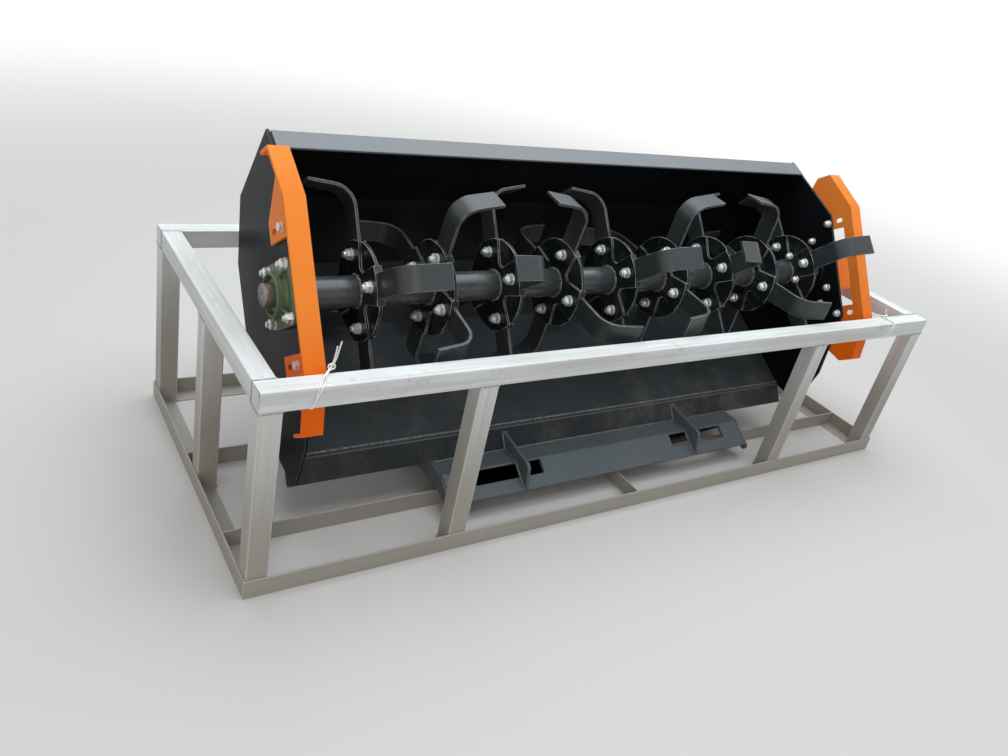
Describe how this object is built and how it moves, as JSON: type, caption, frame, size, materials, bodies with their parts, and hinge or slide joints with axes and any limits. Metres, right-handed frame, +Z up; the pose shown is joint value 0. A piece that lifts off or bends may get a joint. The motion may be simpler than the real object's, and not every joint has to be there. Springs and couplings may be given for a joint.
{
  "type": "rotary tiller",
  "caption": "Rotary tiller for a loader, with a hood, skid shoes and a turning rotor of bent tines on notched flanges, stored on its mounting plate in an open steel crate.",
  "frame": {"origin": "middle of the crate's footprint, on the floor", "axes": "+X along the rotor towards the drive motor, +Y towards the closed back of the hood, +Z up"},
  "size_m": [2.288, 0.8724, 0.8959],
  "materials": {
    "galvanised_steel": "hot-dip galvanised, dull with bright patches",
    "orange_paint": "gloss orange enamel",
    "gloss_black_paint": "gloss black enamel with mud splashes",
    "satin_black_paint": "satin black, greyed by the sky",
    "rotor_paint": "gloss black enamel",
    "tine_paint": "satin black paint",
    "bare_shaft": "bare steel with brown rust film",
    "bearing_paint": "olive green paint on cast iron",
    "motor_paint": "black painted cast body"
  },
  "bodies": {
    "frame": {"bearing_left": "bearing_paint", "crate_back_posts": "galvanised_steel", "crate_back_rail": "galvanised_steel", "crate_base_back": "galvanised_steel", "crate_base_front": "galvanised_steel", "crate_base_left": "galvanised_steel", "crate_base_right": "galvanised_steel", "crate_cross_member": "galvanised_steel", "crate_end_posts": "galvanised_steel", "crate_front_posts": "galvanised_steel", "crate_front_rail": "galvanised_steel", "crate_top_back": "galvanised_steel", "crate_top_front": "galvanised_steel", "crate_top_left": "galvanised_steel", "crate_top_right": "galvanised_steel", "drive_motor": "motor_paint", "hood_front_flange": "gloss_black_paint", "hood_front_panel": "gloss_black_paint", "hood_rear_lip": "satin_black_paint", "hood_rear_panel": "gloss_black_paint", "hood_top_panel": "gloss_black_paint", "hood_upper_rear_panel": "gloss_black_paint", "motor_guard": "orange_paint", "mount_end_left": "satin_black_paint", "mount_end_right": "satin_black_paint", "mount_gusset_left": "satin_black_paint", "mount_gusset_right": "satin_black_paint", "mount_hook": "satin_black_paint", "mount_ledge": "satin_black_paint", "mount_plate": "satin_black_paint", "mount_rib_left": "satin_black_paint", "mount_rib_right": "satin_black_paint", "shoe_left": "orange_paint", "shoe_right": "orange_paint", "side_plate_left": "gloss_black_paint", "side_plate_right": "gloss_black_paint"},
    "rotor": {"rotor_tube": "rotor_paint", "stub_shaft": "bare_shaft", "drive_coupling": "rotor_paint", "tine_flanges": "rotor_paint", "tines_bent_left": "tine_paint", "tines_bent_right": "tine_paint"}
  },
  "joints": [
    {"name": "rotor_spin", "type": "hinge", "parent": "frame", "child": "rotor", "pos_m": [0, -0.11535, 0.57927], "axis": [1, 0, 0], "continuous": true}
  ]
}
